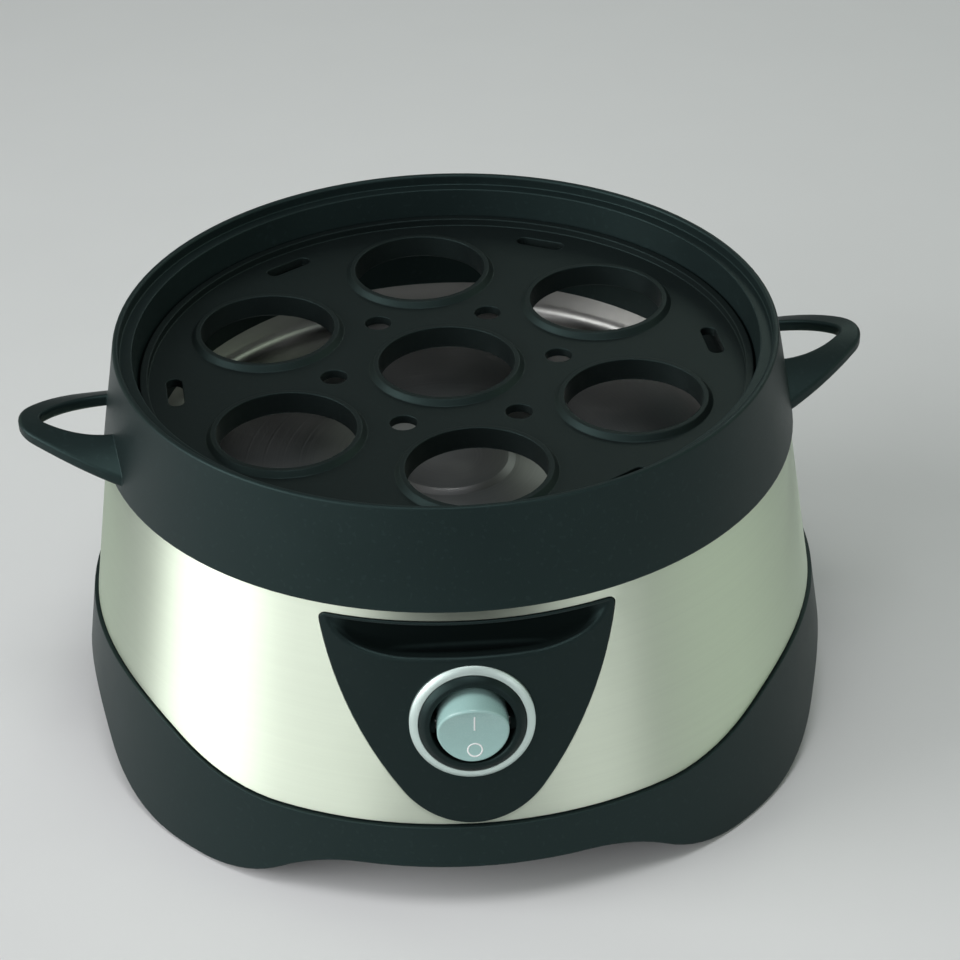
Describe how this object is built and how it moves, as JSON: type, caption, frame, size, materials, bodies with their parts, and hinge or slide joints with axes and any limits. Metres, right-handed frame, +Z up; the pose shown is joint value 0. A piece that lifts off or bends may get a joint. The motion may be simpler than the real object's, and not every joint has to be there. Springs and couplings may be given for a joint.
{
  "type": "electric egg cooker",
  "caption": "Electric egg cooker with a flared brushed steel base, dark skirt and control panel, a round rocker switch and a lift-off egg carrier with loop handles.",
  "frame": {"origin": "On the table under the cooker's axis.", "axes": "+Z up; -Y is the front with the switch; +X is to the right seen from the front."},
  "size_m": [0.2114, 0.192, 0.105],
  "materials": {
    "dark_plastic": "fine matte",
    "panel_plastic": "fine matte",
    "rack_plastic": "satin",
    "brushed_steel": "brushed round the axis",
    "pan_steel": "satin",
    "ring_silver": "satin silver",
    "rocker_grey": "semi gloss",
    "gasket_rubber": "matte",
    "foot_rubber": "matte",
    "cast_aluminium": "as cast",
    "element_steel": "dull",
    "screw_steel": "zinc",
    "contact_brass": "satin",
    "pale_plastic": "matte",
    "block_plastic": "matte",
    "wire_brown": "matte",
    "wire_blue": "matte",
    "wire_green": "matte"
  },
  "bodies": {
    "base": {"base_housing": "dark_plastic", "base_plate": "dark_plastic", "control_panel": "panel_plastic", "steel_band": "brushed_steel", "heating_pan": "pan_steel", "switch_ring": "ring_silver", "switch_body": "panel_plastic", "pan_gasket": "gasket_rubber", "cord_inlet": "panel_plastic", "rubber_foot_front_left": "foot_rubber", "rubber_foot_front_right": "foot_rubber", "rubber_foot_rear_left": "foot_rubber", "rubber_foot_rear_right": "foot_rubber", "heat_spreader": "cast_aluminium", "heating_element": "element_steel", "element_pins": "screw_steel", "base_screws": "screw_steel", "panel_screws": "screw_steel", "spreader_screws": "screw_steel", "clamp_screws": "screw_steel", "block_screws": "screw_steel", "terminal_screws": "screw_steel", "pan_studs": "screw_steel", "pan_nuts": "screw_steel", "thermostat_bracket": "screw_steel", "fuse_strap": "screw_steel", "switch_terminal_in": "contact_brass", "switch_terminal_out": "contact_brass", "thermostat": "block_plastic", "thermal_fuse": "pale_plastic", "terminal_block": "pale_plastic", "cord_clamp": "block_plastic", "wire_live": "wire_brown", "wire_switched": "wire_brown", "wire_fuse": "wire_brown", "wire_element": "wire_brown", "wire_neutral": "wire_blue", "wire_earth": "wire_green"},
    "carrier": {"egg_carrier": "dark_plastic"},
    "rack": {"egg_rack": "rack_plastic"},
    "rocker": {"switch_rocker": "rocker_grey", "switch_plunger": "pale_plastic", "switch_spring": "screw_steel"},
    "lever": {"contact_lever": "contact_brass"}
  },
  "joints": [
    {"name": "carrier_lift", "type": "slide", "parent": "base", "child": "carrier", "axis": [0, 0, 1], "range_m": [0, 0.06]},
    {"name": "rack_lift", "type": "slide", "parent": "carrier", "child": "rack", "axis": [0, 0, 1], "range_m": [0, 0.04]},
    {"name": "rocker_tilt", "type": "hinge", "parent": "base", "child": "rocker", "pos_m": [0, -0.08941, 0.05083], "axis": [-1, 0, 0], "range_deg": [0, 32]},
    {"name": "lever_tilt", "type": "hinge", "parent": "base", "child": "lever", "pos_m": [0, -0.07901, 0.04934], "axis": [-1, 0, 0], "range_deg": [-12, 0]}
  ],
  "couplings": [
    {"joint": "lever_tilt", "follows": "rocker_tilt", "ratio": -0.375}
  ]
}
